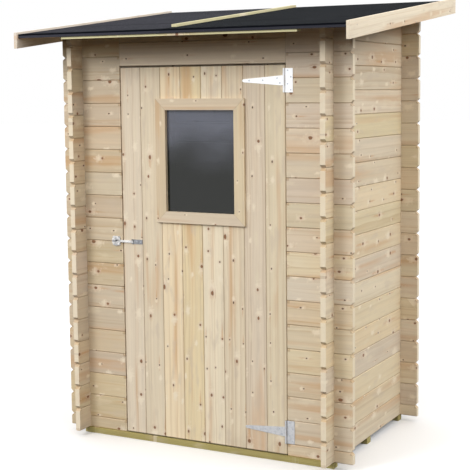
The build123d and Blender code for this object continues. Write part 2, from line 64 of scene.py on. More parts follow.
class Bench:
    """Adds, sets and joins the nodes of one node tree."""

    def __init__(self, tree):
        self.tree = tree

    def node(self, kind, **settings):
        made = self.tree.nodes.new(kind)
        for name, value in settings.items():
            setattr(made, name, value)
        return made

    def feed(self, socket, value):
        """Links a socket to a socket, or sets its value. None leaves it alone."""
        if isinstance(value, bpy.types.NodeSocket):
            self.tree.links.new(value, socket)
        elif value is not None:
            socket.default_value = value

    def maths(self, operation, first, second=None, third=None):
        made = self.node("ShaderNodeMath", operation=operation)
        for socket, value in zip(made.inputs, (first, second, third)):
            self.feed(socket, value)
        return made.outputs[0]

    def times(self, first, second):
        return self.maths("MULTIPLY", first, second)

    def over(self, first, second):
        return self.maths("DIVIDE", first, second)

    def plus(self, first, second):
        return self.maths("ADD", first, second)

    def minus(self, first, second):
        return self.maths("SUBTRACT", first, second)

    def times_plus(self, value, factor, extra):
        return self.maths("MULTIPLY_ADD", value, factor, extra)

    def size(self, value):
        return self.maths("ABSOLUTE", value)

    def swing(self, value):
        """Turns the range from 0 to 1 into one from -0.5 to 0.5."""
        return self.minus(value, 0.5)

    def distance(self, x, y):
        return self.maths("SQRT", self.plus(self.times(x, x), self.times(y, y)))

    def vector(self, operation, first, second=None, output=0):
        made = self.node("ShaderNodeVectorMath", operation=operation)
        self.feed(made.inputs[0], first)
        self.feed(made.inputs[1], second)
        return made.outputs[output]

    def stretch(self, position, waves):
        return self.vector("MULTIPLY", position, waves)

    def dot(self, first, second):
        return self.vector("DOT_PRODUCT", first, second, "Value")

    def join(self, x, y, z=0.0):
        made = self.node("ShaderNodeCombineXYZ")
        for socket, value in zip(made.inputs, (x, y, z)):
            self.feed(socket, value)
        return made.outputs[0]

    def split(self, vector):
        made = self.node("ShaderNodeSeparateXYZ")
        self.feed(made.inputs[0], vector)
        return made.outputs

    def fade(self, value, start, end, low=0.0, high=1.0):
        """Smooth step of value from start to end, where start may be the larger."""
        made = self.node("ShaderNodeMapRange", interpolation_type="SMOOTHSTEP")
        for socket, given in zip(made.inputs, (value, start, end, low, high)):
            self.feed(socket, given)
        return made.outputs[0]

    def mix(self, kind, sockets, factor, first, second):
        made = self.node("ShaderNodeMix", data_type=kind)
        for socket, value in zip(sockets, (factor, first, second)):
            self.feed(made.inputs[socket], value)
        return made.outputs

    def colour(self, factor, first, second):
        return self.mix("RGBA", (0, 6, 7), factor, first, second)[2]

    def pick(self, factor, first, second):
        """Mix of two vectors."""
        return self.mix("VECTOR", (0, 4, 5), factor, first, second)[1]

    def pick_value(self, factor, first, second):
        """Mix of two plain values."""
        return self.mix("FLOAT", (0, 2, 3), factor, first, second)[0]

    def noise(self, vector, scale=1.0, detail=2.0, rough=0.5):
        made = self.node("ShaderNodeTexNoise")
        self.feed(made.inputs["Vector"], vector)
        made.inputs["Scale"].default_value = scale
        made.inputs["Detail"].default_value = detail
        made.inputs["Roughness"].default_value = rough
        return made.outputs[0]

    def chance(self, number):
        """Random colour that belongs to a number."""
        made = self.node("ShaderNodeTexWhiteNoise", noise_dimensions="1D")
        self.feed(made.inputs["W"], number)
        return made.outputs["Color"]

    def bump(self, height, depth, strength, base=None):
        made = self.node("ShaderNodeBump")
        made.inputs["Strength"].default_value = strength
        made.inputs["Distance"].default_value = depth
        self.feed(made.inputs["Height"], height)
        self.feed(made.inputs["Normal"], base)
        return made.outputs[0]

    def effect(self, group, **given):
        made = self.node("ShaderNodeGroup", node_tree=group)
        for name, value in given.items():
            self.feed(made.inputs[name.replace("_", " ")], value)
        return made.outputs


def new_effect(name, inputs, outputs):
    """An empty node group with named inputs and outputs."""
    group = bpy.data.node_groups.new(name, "ShaderNodeTree")
    for title, kind, value in inputs:
        socket = group.interface.new_socket(name=title, in_out="INPUT", socket_type="NodeSocket" + kind)
        socket.default_value = value
    for title, kind in outputs:
        group.interface.new_socket(name=title, in_out="OUTPUT", socket_type="NodeSocket" + kind)
    bench = Bench(group)
    return group, bench, bench.node("NodeGroupInput").outputs, bench.node("NodeGroupOutput").inputs


def linear(red, green, blue):
    """Colour from 0 to 255 as a screen shows it, for a colour socket."""
    made = []
    for part in (red, green, blue):
        part /= 255
        made.append(part / 12.92 if part <= 0.04045 else ((part + 0.055) / 1.055) ** 2.4)
    return (*made, 1.0)


SPRUCE_PALE = linear(224, 208, 183)
# Darker spruce that paints the shade cast beside the left corner's protruding board ends
SPRUCE_PAINTED_SHADE = linear(213, 195, 166)
SPRUCE_YELLOW = linear(226, 209, 179)
SPRUCE_DOOR = linear(235, 218, 186)
SPRUCE_TRIM = linear(224, 205, 175)
# Darker spruce that paints the deep shade under the roof's overhang
SPRUCE_PAINTED_ROOF_SHADE = linear(196, 176, 148)
SPRUCE_GREYISH = linear(227, 218, 207)
SPRUCE_CREAMY = linear(234, 222, 203)
SPRUCE_LATE = linear(192, 161, 120)
TREATED_PALE = linear(214, 206, 162)
TREATED_LATE = linear(156, 142, 92)
OLIVE_PALE = linear(180, 166, 108)
OLIVE_LATE = linear(78, 64, 32)

RESIN_BROWN = linear(206, 158, 108)
CLOUD_PINKISH = linear(208, 191, 171)
CLOUD_CREAM = linear(232, 218, 190)
KNOT_TRAIL = linear(204, 154, 106)
KNOT_FLAME = linear(244, 230, 206)
KNOT_HALO = linear(178, 122, 82)
KNOT_DARK = linear(66, 46, 32)
KNOT_RED = linear(132, 88, 58)
JOINT_DIRT_AND_SHADE = linear(140, 112, 80)
END_SHADE = linear(58, 44, 34)
BEVEL_PAINTED_SHADE = linear(176, 146, 108)
SAWN_CREAM = linear(244, 230, 204)
WEATHER_BROWN = linear(140, 122, 96)

KNOT_SPACING = 0.17  # between knots along a board
KNOT_ROWS = 0.42  # their spacing across it, as a share of that
KNOT_LEAST = 0.0030  # radius of the smallest knot
KNOT_SPREAD = 0.0056  # how much larger the largest is
KNOT_SHIFT = (61.0, 43.0)  # moves the knots by the board's chance colour
KNOT_LUMPS = 90.0  # waves per metre in a knot's outline
KNOT_UNEVEN = 0.7
KNOT_FAVOUR = 2.2  # the higher, the fewer large knots
KNOT_REDDENS = (0.34, 0.72)  # size chance at which knots turn from dark to red
KNOT_PUSH = 1.5  # how far a knot pushes the rings aside, in its radii
SEED_STEP = 17.31

# Where the parts round a knot end and are full, in the knot's radii
CORE_EDGE = (1.15, 0.7)
HALO_EDGE = (3.4, 0.9)
FLAME_EDGE = (3.8, 0.6)
TRAIL_EDGE = (1.6, 0.0)
FLAME_LEAN = 8.0  # spread of the pale wood's middle along the board
FLAME_STRETCH = 0.55
FLAME_UNEVEN = 2.0
FLAME_MORE = 0.28  # share of places with pale wood and no knot
TRAIL_STRETCH = 0.09
TRAIL_UNEVEN = 0.004
TRAIL_FEW = (0.26, 0.10)  # chance at which a knot has no trail and a full one

# Patterns in wood, in waves per metre along, across and through the board
BEND_WAVES = (1.7, 5.0, 5.0)
RIPPLE_WAVES = (1.6, 14.0, 14.0)
FIBRE_WAVES = (9.0, 620.0, 620.0)
STREAK_WAVES = (1.1, 42.0, 42.0)
LINE_WAVES = (0.8, 74.0, 74.0)
RESIN_WAVES = (0.9, 13.0, 13.0)
CLOUD_WAVES = (7.0, 24.0, 24.0)
PATTERN_SHIFT = (31.0, 17.0, 23.0)  # moves the patterns by the board's chance colour
TRUNK_SWAY = 0.24  # boards lie up to half of this to either side of the trunk's middle
TRUNK_BEND = 0.05
TRUNK_RIPPLE = 0.0035
TRUNK_DEPTH = 0.016  # the least that a point's depth in the trunk exceeds its depth in the frame
TRUNK_DEPTH_MORE = 0.07  # how much more by chance
RING_RISE = 2.2  # how late in a year the wood darkens
RING_DROP = (1.0, 0.93)
YEAR_WAVES = 0.29
YEAR_SHIFT = 91.0
STRONG_YEARS = (0.45, 0.72, 0.12, 1.0)
LINE_RANGE = (0.57, 0.72)
RESIN_RANGE = (0.54, 0.70)
PINKISH_RANGE = (0.55, 0.72)
CREAM_RANGE = (0.42, 0.26)
RED_LEAN = 0.035  # how far boards differ in red, green and blue
GREEN_LEAN = 0.04
BLUE_LEAN = -0.17

# How strongly each part of the grain shows, from 0 to 1
RING_SHOWS = 0.55
LINE_SHOWS = 0.26
FIBRE_SHOWS = 0.10
STREAK_SHOWS = 0.30
BOARD_SHOWS = 0.12
RESIN_SHOWS = 0.42
PINKISH_SHOWS = 0.35
CREAM_SHOWS = 0.40
TRAIL_SHOWS = 0.6
FLAME_SHOWS = 0.75
CORE_SHOWS = 0.9
JOINT_SHOWS = 0.32
SAWN_SHOWS = 0.65
WEATHER_SHOWS = 0.30
HALO_SHOWS = 0.20
HALO_ON_RINGS = 0.4

WOOD_ROUGH = 0.68
RING_SMOOTHER = -0.12
CORE_SMOOTHER = -0.18
FIBRE_ROUGHER = 0.12
GRAIN_DEPTH = 0.0006
GROUND_MARKS = 0.14  # height up to which more marks show
BEVEL_EDGE = (0.0145, 0.0115)  # distance from a board's end and edge
SAWN_EDGE = (0.0009, 0.0003)
END_GAP_EDGE = (0.0045, 0.001)


def build_board_layout():
    """Splits a wall or door into its boards, each with its own chance colour."""
    group, bench, given, out = new_effect(
        "board layout",
        [
            ("Position", "Vector", (0, 0, 0)),
            ("Along", "Vector", (1, 0, 0)),
            ("Across", "Vector", (0, 0, 1)),
            ("Board Width", "Float", 0.1),
            ("First Edge", "Float", 0.0),
            ("Seed", "Float", 0.0),
        ],
        [("Place", "Vector"), ("Board", "Color"), ("Edge", "Float")],
    )
    along = bench.dot(given["Position"], given["Along"])
    across = bench.dot(given["Position"], given["Across"])
    through = bench.vector("CROSS_PRODUCT", given["Along"], given["Across"])
    depth = bench.dot(given["Position"], through)
    row = bench.over(bench.minus(across, given["First Edge"]), given["Board Width"])
    number = bench.maths("FLOOR", row)
    middle = bench.times(bench.swing(bench.minus(row, number)), given["Board Width"])
    half = bench.times(given["Board Width"], 0.5)
    bench.feed(out["Place"], bench.join(along, middle, depth))
    bench.feed(out["Board"], bench.chance(bench.plus(number, bench.times(given["Seed"], SEED_STEP))))
    bench.feed(out["Edge"], bench.minus(half, bench.size(middle)))
    return group


def build_knots():
    """Knots spread along a board: masks of their parts, and how far they push the grain aside."""
    group, bench, given, out = new_effect(
        "knots",
        [
            ("Place", "Vector", (0, 0, 0)),
            ("Board", "Color", (0.5, 0.5, 0.5, 1)),
            ("Share", "Float", 0.5),
            ("Size", "Float", 1.0),
            ("Spacing", "Float", KNOT_SPACING),
        ],
        [
            ("Core", "Float"),
            ("Red", "Float"),
            ("Halo", "Float"),
            ("Push", "Float"),
            ("Flame", "Float"),
            ("Trail", "Float"),
        ],
    )
    place = bench.split(given["Place"])
    board = bench.split(given["Board"])
    wide = bench.times(given["Spacing"], KNOT_ROWS)
    u = bench.plus(bench.over(place[0], given["Spacing"]), bench.times(board[0], KNOT_SHIFT[0]))
    v = bench.plus(bench.over(place[1], wide), bench.times(board[1], KNOT_SHIFT[1]))
    cells = bench.node("ShaderNodeTexVoronoi", voronoi_dimensions="2D")
    bench.feed(cells.inputs["Vector"], bench.join(u, v))
    cells.inputs["Scale"].default_value = 1.0
    cells.inputs["Randomness"].default_value = 0.9
    spot = bench.split(cells.outputs["Position"])
    away_u = bench.times(bench.minus(u, spot[0]), given["Spacing"])
    away_v = bench.times(bench.minus(v, spot[1]), wide)
    kind = bench.split(cells.outputs["Color"])

    # Each knot is an uneven oval, along the board or round.
    outline = bench.join(bench.times(away_u, KNOT_LUMPS), bench.times(away_v, KNOT_LUMPS), kind[1])
    lumps = bench.swing(bench.noise(outline))
    flatter = bench.times_plus(kind[2], 0.35, 0.6)
    reach = bench.distance(bench.times(away_u, flatter), away_v)
    reach = bench.times_plus(lumps, bench.times(reach, KNOT_UNEVEN), reach)
    there = bench.maths("LESS_THAN", kind[0], given["Share"])
    large = bench.maths("POWER", kind[1], KNOT_FAVOUR)
    radius = bench.times(bench.times_plus(large, KNOT_SPREAD, KNOT_LEAST), given["Size"])
    share = bench.over(reach, radius)
    core = bench.times(bench.fade(share, *CORE_EDGE), there)
    bench.feed(out["Core"], core)
    bench.feed(out["Red"], bench.times(core, bench.fade(kind[1], *KNOT_REDDENS)))
    bench.feed(out["Halo"], bench.times(bench.fade(share, *HALO_EDGE), there))
    near = bench.maths("EXPONENT", bench.times(bench.times(share, share), -0.09))
    side = bench.over(away_v, bench.plus(bench.size(away_v), 0.0025))
    push = bench.times(bench.times(near, bench.times(radius, KNOT_PUSH)), side)
    bench.feed(out["Push"], bench.times(push, there))

    # Pale wood swells out on one side of a knot, and a warm streak trails along the grain.
    lean = bench.times(bench.swing(kind[2]), bench.times(radius, FLAME_LEAN))
    flame = bench.distance(bench.times(bench.plus(away_u, lean), FLAME_STRETCH), away_v)
    flame = bench.times_plus(lumps, bench.times(flame, FLAME_UNEVEN), flame)
    flame = bench.fade(bench.over(flame, radius), *FLAME_EDGE)
    pale_there = bench.maths("LESS_THAN", kind[0], bench.plus(given["Share"], FLAME_MORE))
    bench.feed(out["Flame"], bench.times(flame, pale_there))
    trail_u = bench.times(bench.minus(away_u, lean), TRAIL_STRETCH)
    trail_v = bench.plus(away_v, bench.times(lumps, TRAIL_UNEVEN))
    trail = bench.fade(bench.over(bench.distance(trail_u, trail_v), radius), *TRAIL_EDGE)
    few = bench.fade(kind[0], *TRAIL_FEW)
    bench.feed(out["Trail"], bench.times(bench.times(trail, there), few))
    return group


def build_softwood(knots):
    """Sawn softwood: growth rings cut by the board's faces, knots, fibres and warm streaks."""
    group, bench, given, out = new_effect(
        "sawn softwood",
        [
            ("Place", "Vector", (0, 0, 0)),
            ("Board", "Color", (0.5, 0.5, 0.5, 1)),
            ("Ring Width", "Float", 0.0032),
            ("Knot Share", "Float", 0.5),
            ("Knot Size", "Float", 1.0),
            ("Spring Wood", "Color", SPRUCE_PALE),
            ("Summer Wood", "Color", SPRUCE_LATE),
            ("Tint", "Float", 1.0),
        ],
        [("Color", "Color"), ("Roughness", "Float"), ("Height", "Float")],
    )
    place = bench.split(given["Place"])
    board = bench.split(given["Board"])
    shift = bench.vector("MULTIPLY", given["Board"], PATTERN_SHIFT)
    knot = bench.effect(
        knots,
        Place=given["Place"],
        Board=given["Board"],
        Share=given["Knot Share"],
        Size=given["Knot Size"],
    )

    def pattern(waves, detail=2.0, rough=0.5):
        """Noise stretched along the board, of its own on each board."""
        moved = bench.vector("ADD", bench.stretch(given["Place"], waves), shift)
        return bench.noise(moved, 1.0, detail, rough)

    def tinted(value, most):
        """A mask or swing of at most so much, times the tint."""
        return bench.times(value, bench.times(given["Tint"], most))

    # The trunk's middle wanders slowly past the board, and knots push the rings aside.
    wander = bench.swing(pattern(BEND_WAVES))
    ripple = bench.swing(pattern(RIPPLE_WAVES, 3.0))
    across = bench.times_plus(bench.swing(board[0]), TRUNK_SWAY, place[1])
    across = bench.times_plus(wander, TRUNK_BEND, across)
    across = bench.minus(across, knot["Push"])
    depth = bench.plus(place[2], bench.times_plus(board[1], TRUNK_DEPTH_MORE, TRUNK_DEPTH))
    depth = bench.times_plus(ripple, TRUNK_RIPPLE, depth)
    year = bench.over(bench.distance(across, depth), given["Ring Width"])
    part = bench.maths("FRACT", year)
    ring = bench.times(bench.maths("POWER", part, RING_RISE), bench.fade(part, *RING_DROP))
    years = bench.node("ShaderNodeTexNoise", noise_dimensions="1D")
    bench.feed(years.inputs["W"], bench.times_plus(board[2], YEAR_SHIFT, bench.times(year, YEAR_WAVES)))
    years.inputs["Scale"].default_value = 1.0
    ring = bench.times(ring, bench.fade(years.outputs[0], *STRONG_YEARS))

    # Fibres, broad streaks and thin lines run along the board.
    fibre = bench.swing(pattern(FIBRE_WAVES, 3.0, 0.6))
    streak = bench.swing(pattern(STREAK_WAVES, 4.0, 0.62))
    line = bench.fade(pattern(LINE_WAVES), *LINE_RANGE)
    wood = bench.colour(bench.times(ring, RING_SHOWS), given["Spring Wood"], given["Summer Wood"])
    wood = bench.colour(bench.times(line, LINE_SHOWS), wood, given["Summer Wood"])
    light = bench.times_plus(fibre, FIBRE_SHOWS, 1.0)
    light = bench.times_plus(streak, STREAK_SHOWS, light)
    light = bench.plus(light, tinted(bench.swing(board[2]), BOARD_SHOWS))
    wood = bench.vector("MULTIPLY", wood, bench.join(light, light, light))

    # Each board leans a little to red, yellow or green.
    warmth = bench.times(bench.swing(board[0]), given["Tint"])
    green = bench.times(bench.swing(board[1]), given["Tint"])
    leaning = bench.join(
        bench.times_plus(warmth, RED_LEAN, 1.0),
        bench.times_plus(green, GREEN_LEAN, 1.0),
        bench.times_plus(warmth, BLUE_LEAN, 1.0),
    )
    wood = bench.vector("MULTIPLY", wood, leaning)

    resin = bench.fade(pattern(RESIN_WAVES), *RESIN_RANGE)
    wood = bench.colour(tinted(resin, RESIN_SHOWS), wood, RESIN_BROWN)
    cloud = pattern(CLOUD_WAVES, 3.0)
    pinkish = tinted(bench.fade(cloud, *PINKISH_RANGE), PINKISH_SHOWS)
    wood = bench.colour(pinkish, wood, CLOUD_PINKISH)
    cream = tinted(bench.fade(cloud, *CREAM_RANGE), CREAM_SHOWS)
    wood = bench.colour(cream, wood, CLOUD_CREAM)

    wood = bench.colour(bench.times(knot["Trail"], TRAIL_SHOWS), wood, KNOT_TRAIL)
    wood = bench.colour(bench.times(knot["Flame"], FLAME_SHOWS), wood, KNOT_FLAME)
    swirl = bench.times(knot["Halo"], bench.times_plus(ring, HALO_ON_RINGS, HALO_SHOWS))
    wood = bench.colour(swirl, wood, KNOT_HALO)
    heart = bench.colour(knot["Red"], KNOT_DARK, KNOT_RED)
    bench.feed(out["Color"], bench.colour(bench.times(knot["Core"], CORE_SHOWS), wood, heart))

    rough = bench.times_plus(ring, RING_SMOOTHER, WOOD_ROUGH)
    rough = bench.times_plus(knot["Core"], CORE_SMOOTHER, rough)
    bench.feed(out["Roughness"], bench.times_plus(fibre, FIBRE_ROUGHER, rough))
    high = bench.times_plus(fibre, 0.5, bench.times(ring, 0.5))
    bench.feed(out["Height"], bench.times_plus(knot["Core"], -0.6, high))
    return group


def build_joint_shade():
    """Mask of dirt along a board's edges, which also paints shade over the edges' bevels."""
    group, bench, given, out = new_effect(
        "joint shade",
        [("Position", "Vector", (0, 0, 0)), ("Edge", "Float", 0.01), ("Reach", "Float", 0.004)],
        [("Mask", "Float")],
    )
    uneven = bench.noise(given["Position"], 23.0, 3.0)
    reach = bench.times(given["Reach"], bench.plus(uneven, 0.6))
    bench.feed(out["Mask"], bench.fade(given["Edge"], reach, 0.0))
    return group


def build_weathering():
    """Faint grey and brown marks, more of them near the ground."""
    group, bench, given, out = new_effect(
        "weathering",
        [("Position", "Vector", (0, 0, 0)), ("Ground", "Float", 0.12)],
        [("Mask", "Float")],
    )
    height = bench.split(given["Position"])[2]
    patches = bench.noise(given["Position"], 5.5, 5.0, 0.62)
    near = bench.fade(height, given["Ground"], 0.0, 0.12, 0.8)
    bench.feed(out["Mask"], bench.times(bench.fade(patches, 0.45, 0.75), near))
    return group


def build_zinc():
    """Zinc plating: fine rolled lines, cloudy patches and small scratches."""
    group, bench, given, out = new_effect(
        "zinc plating",
        [
            ("Position", "Vector", (0, 0, 0)),
            ("Bright", "Color", (0.8, 0.8, 0.8, 1)),
            ("Dull", "Color", (0.5, 0.5, 0.5, 1)),
        ],
        [("Color", "Color"), ("Roughness", "Float"), ("Height", "Float")],
    )
    clouds = bench.noise(given["Position"], 75.0, 4.0, 0.6)
    rolled = bench.noise(bench.stretch(given["Position"], (60.0, 900.0, 1500.0)))
    marks = bench.noise(bench.stretch(given["Position"], (1400.0, 500.0, 90.0)))
    scratch = bench.fade(marks, 0.68, 0.76)
    tone = bench.fade(clouds, 0.3, 0.8)
    colour = bench.colour(tone, given["Bright"], given["Dull"])
    bench.feed(out["Color"], bench.colour(bench.times(scratch, 0.35), colour, given["Bright"]))
    rough = bench.times_plus(tone, 0.16, 0.30)
    bench.feed(out["Roughness"], bench.times_plus(scratch, 0.2, rough))
    bench.feed(out["Height"], bench.times_plus(scratch, -0.6, bench.times(rolled, 0.5)))
    return group


def build_granules():
    """Mineral granules pressed into roofing felt, with worn patches."""
    group, bench, given, out = new_effect(
        "felt granules",
        [
            ("Position", "Vector", (0, 0, 0)),
            ("Dark", "Color", (0.02, 0.02, 0.025, 1)),
            ("Light", "Color", (0.1, 0.1, 0.12, 1)),
        ],
        [("Color", "Color"), ("Roughness", "Float"), ("Height", "Float")],
    )
    grit = bench.node("ShaderNodeTexVoronoi", feature="F1")
    bench.feed(grit.inputs["Vector"], given["Position"])
    grit.inputs["Scale"].default_value = 620.0
    tone = bench.split(grit.outputs["Color"])
    patches = bench.noise(given["Position"], 3.2, 5.0, 0.6)
    sparkle = bench.times(bench.maths("POWER", tone[0], 3.0), 0.6)
    worn = bench.times_plus(patches, 0.25, sparkle)
    bench.feed(out["Color"], bench.colour(worn, given["Dark"], given["Light"]))
    bench.feed(out["Roughness"], bench.times_plus(tone[1], 0.14, 0.78))
    bench.feed(out["Height"], bench.fade(grit.outputs["Distance"], 0.6, 0.0))
    return group


BOARD_LAYOUT = build_board_layout()
SOFTWOOD = build_softwood(build_knots())
JOINT_SHADE = build_joint_shade()
WEATHERING = build_weathering()
ZINC = build_zinc()
GRANULES = build_granules()


# Finishes

def new_finish(name):
    """A material with only its surface shader; returns it, its bench and the shader."""
    material = bpy.data.materials.new(name)
    material.use_nodes = True
    bench = Bench(material.node_tree)
    shader = material.node_tree.nodes["Principled BSDF"]
    return material, bench, shader


def rest_position(bench):
    """A point's place in the frame at rest, which rides with the piece."""
    return bench.node("ShaderNodeTexCoord").outputs["Object"]


def from_ends(bench, position, along, low, high):
    """How far a point is from the nearer end of its boards."""
    run = bench.dot(position, along)
    return bench.maths("MINIMUM", bench.minus(run, low), bench.minus(high, run))


def cut_ends(bench, colour, place, edge, end):
    """Painted shade on the upper bevels and a pale sawn face at the free ends of wall boards."""
    bevel = bench.times(bench.fade(end, *BEVEL_EDGE), bench.fade(edge, *BEVEL_EDGE))
    upper = bench.fade(bench.split(place)[1], -0.005, 0.005, 0.0, 0.5)
    # Painted shade on the upper bevels, which face the light
    colour = bench.colour(bench.times(bevel, upper), colour, BEVEL_PAINTED_SHADE)
    sawn = bench.times(bench.fade(end, *SAWN_EDGE), bench.minus(1.0, bevel))
    return bench.colour(bench.times(sawn, SAWN_SHOWS), colour, SAWN_CREAM)


def wood(
    name,
    along,
    across,
    board_width,
    first_edge,
    seed,
    pale=SPRUCE_PALE,
    late=SPRUCE_LATE,
    knot_share=0.62,
    knot_size=1.0,
    tint=1.0,
    gloss=0.12,
    joint=0.0045,
    ring_width=0.0032,
    window=None,
    ends=None,
    cuts=None,
):
    """Sawn boards that run along one direction and lie side by side across another.

    ends is where boards end at a gap, painted with its shade: low, high and how dark. cuts is where they
    end free.
    """
    material, bench, shader = new_finish(name)
    position = rest_position(bench)
    layout = bench.effect(
        BOARD_LAYOUT,
        Position=position,
        Along=along,
        Across=across,
        Board_Width=board_width,
        First_Edge=first_edge,
        Seed=seed,
    )
    place = layout["Place"]
    board = layout["Board"]
    edge = layout["Edge"]
    if window:
        place, board, edge = around_window(bench, position, *window)
    grain = bench.effect(
        SOFTWOOD,
        Place=place,
        Board=board,
        Ring_Width=ring_width,
        Knot_Share=knot_share,
        Knot_Size=knot_size,
        Spring_Wood=pale,
        Summer_Wood=late,
        Tint=tint,
    )
    shade = bench.effect(JOINT_SHADE, Position=position, Edge=edge, Reach=joint)
    marks = bench.effect(WEATHERING, Position=position, Ground=GROUND_MARKS)
    # Dirt and painted shade along the board edges
    colour = bench.colour(bench.times(shade["Mask"], JOINT_SHOWS), grain["Color"], JOINT_DIRT_AND_SHADE)
    if ends:
        # Painted shade in the gap where the boards end
        low, high, darkness = ends
        end = from_ends(bench, position, along, low, high)
        colour = bench.colour(bench.fade(end, *END_GAP_EDGE, 0.0, darkness), colour, END_SHADE)
    if cuts:
        colour = cut_ends(bench, colour, place, edge, from_ends(bench, position, along, *cuts))
    colour = bench.colour(bench.times(marks["Mask"], WEATHER_SHOWS), colour, WEATHER_BROWN)
    bench.feed(shader.inputs["Base Color"], colour)
    bench.feed(shader.inputs["Roughness"], grain["Roughness"])
    shader.inputs["Specular IOR Level"].default_value = gloss
    bench.feed(shader.inputs["Normal"], bench.bump(grain["Height"], GRAIN_DEPTH, 0.5))
    return material


def around_window(bench, position, middle, half_width, half_height):
    """Place, board and edge on the window's frame, where the side strips' grain stands upright."""
    offset = bench.split(bench.vector("SUBTRACT", position, middle))
    over_x = bench.minus(bench.size(offset[0]), half_width)
    over_z = bench.minus(bench.size(offset[2]), half_height)
    upright = bench.maths("GREATER_THAN", over_x, over_z)
    right = bench.maths("GREATER_THAN", offset[0], 0.0)
    top = bench.maths("GREATER_THAN", offset[2], 0.0)
    side_place = bench.join(offset[2], bench.minus(over_x, TRIM_WIDTH / 2), offset[1])
    level_place = bench.join(offset[0], bench.minus(over_z, TRIM_WIDTH / 2), offset[1])
    number = bench.plus(bench.times(upright, 2.0), bench.pick_value(upright, top, right))
    board = bench.chance(bench.plus(number, 7.7))
    mitre = bench.times(bench.size(bench.minus(over_x, over_z)), 0.7)
    return bench.pick(upright, level_place, side_place), board, mitre


def zinc(name, bright, dull, metallic=0.85):
    material, bench, shader = new_finish(name)
    plating = bench.effect(ZINC, Position=rest_position(bench), Bright=bright, Dull=dull)
    bench.feed(shader.inputs["Base Color"], plating["Color"])
    bench.feed(shader.inputs["Roughness"], plating["Roughness"])
    shader.inputs["Metallic"].default_value = metallic
    bench.feed(shader.inputs["Normal"], bench.bump(plating["Height"], 0.0002, 0.4))
    return material


# Painted shade in the creases across the felt behind its front edge, and the bands of that edge: painted
# shade above, a paler lip below
FOLD_FRONT = (0.003, 0.008)
FOLD_REAR = (0.075, 0.02)
LAP_FRONT = (0.36, 0.40)
LAP_REAR = (0.45, 0.41)
LIP_LOW = 0.010
LIP_HIGH = 0.013


def felt():
    """Two sheets of felt, the left one paler, with painted shade in its creases and on the upper part of
    its folded front edge.
    """
    material, bench, shader = new_finish("roofing felt")
    position = rest_position(bench)
    felt_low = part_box("roof_felt")[0]
    seam_low, seam_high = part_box("roof_seam_batten")
    split = bench.split(position)
    # The left sheet is paler
    left_sheet = bench.maths("LESS_THAN", split[0], (seam_low.x + seam_high.x) / 2)
    dark = bench.colour(left_sheet, linear(14, 16, 18), linear(29, 30, 34))
    light = bench.colour(left_sheet, linear(44, 48, 54), linear(86, 86, 95))
    grit = bench.effect(GRANULES, Position=position, Dark=dark, Light=light)

    back = bench.minus(split[1], felt_low.y)
    fold = bench.times(bench.fade(back, *FOLD_FRONT), bench.fade(back, *FOLD_REAR))
    lap = bench.times(bench.fade(back, *LAP_FRONT), bench.fade(back, *LAP_REAR))
    # Painted shade in the fold and the lap creases
    crease_shade = bench.maths("MAXIMUM", bench.times(fold, 0.7), bench.times(lap, 0.35))
    colour = bench.colour(crease_shade, grit["Color"], linear(8, 10, 13))

    front = bench.fade(back, 0.004, 0.002)
    above = bench.minus(split[2], felt_low.z)
    # Painted shade on the upper part of the folded front edge
    upper = bench.times(front, bench.fade(above, LIP_LOW, LIP_HIGH))
    colour = bench.colour(upper, colour, linear(13, 15, 21))
    lip = bench.times(front, bench.fade(above, LIP_HIGH, LIP_LOW))
    colour = bench.colour(bench.times(lip, 0.5), colour, linear(74, 74, 83))

    bench.feed(shader.inputs["Base Color"], colour)
    bench.feed(shader.inputs["Roughness"], grit["Roughness"])
    shader.inputs["Specular IOR Level"].default_value = 0.02
    waves = bench.noise(bench.stretch(position, (2.6, 4.0, 1.0)), 1.0, 3.0)
    wavy = bench.bump(waves, 0.02, 0.6)
    bench.feed(shader.inputs["Normal"], bench.bump(grit["Height"], 0.0006, 0.5, wavy))
    return material


def window_glass():
    """Dark glass with a painted reflection of the sky, paler and bluer towards its top, and faint dust
    in its roughness.
    """
    material, bench, shader = new_finish("window glass")
    position = rest_position(bench)
    dust = bench.noise(position, 60.0, 5.0, 0.65)
    low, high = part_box("window_pane")
    reflection_wobble = bench.swing(bench.noise(bench.stretch(position, (5.0, 5.0, 7.0)), 1.0, 4.0))
    level = bench.over(bench.minus(bench.split(position)[2], low.z), high.z - low.z)
    # Painted reflection of the sky: paler and bluer towards the glass's top
    painted_sky_reflection = bench.fade(bench.times_plus(reflection_wobble, 0.5, level), 0.35, 0.95)
    colour = bench.colour(painted_sky_reflection, linear(46, 51, 44), linear(170, 174, 190))
    bench.feed(shader.inputs["Base Color"], colour)
    bench.feed(shader.inputs["Roughness"], bench.fade(dust, 0.5, 0.85, 0.01, 0.035))
    shader.inputs["Transmission Weight"].default_value = 0.75
    shader.inputs["IOR"].default_value = 1.5
    return material


def finish_nodes(material, *names):
    """Gives CAD nodes their finish."""
    for name in names:
        piece = NODES[name]
        if not piece.data.materials:
            piece.data.materials.append(material)
        for slot in piece.material_slots:
            slot.material = material


# Screws and nails

SCREW_SIDES = 20
SCREW_RISE = 0.16  # height of the head, as a share of its radius
SCREW_SUNK = 0.34  # depth of the cross
CROSS_WIDE = 0.14  # half the width of one arm of the cross
CROSS_LONG = 0.62
CROSS_TAPER = 0.8
NAIL_SIDES = 16
NAIL_RISE = 0.324
NAIL_RADIUS = 0.0026
NAIL_PROUD = 0.00015  # how far a nail's head stands above the wood
HINGE_SCREW = 0.0038  # radii of the screw heads
HASP_SCREW = 0.0032
STAPLE_SCREW = 0.0030


def facing(point, outward):
    """Placement at a point with local +Z turned outward."""
    return Matrix.Translation(point) @ Vector(outward).to_track_quat("Z", "Y").to_matrix().to_4x4()


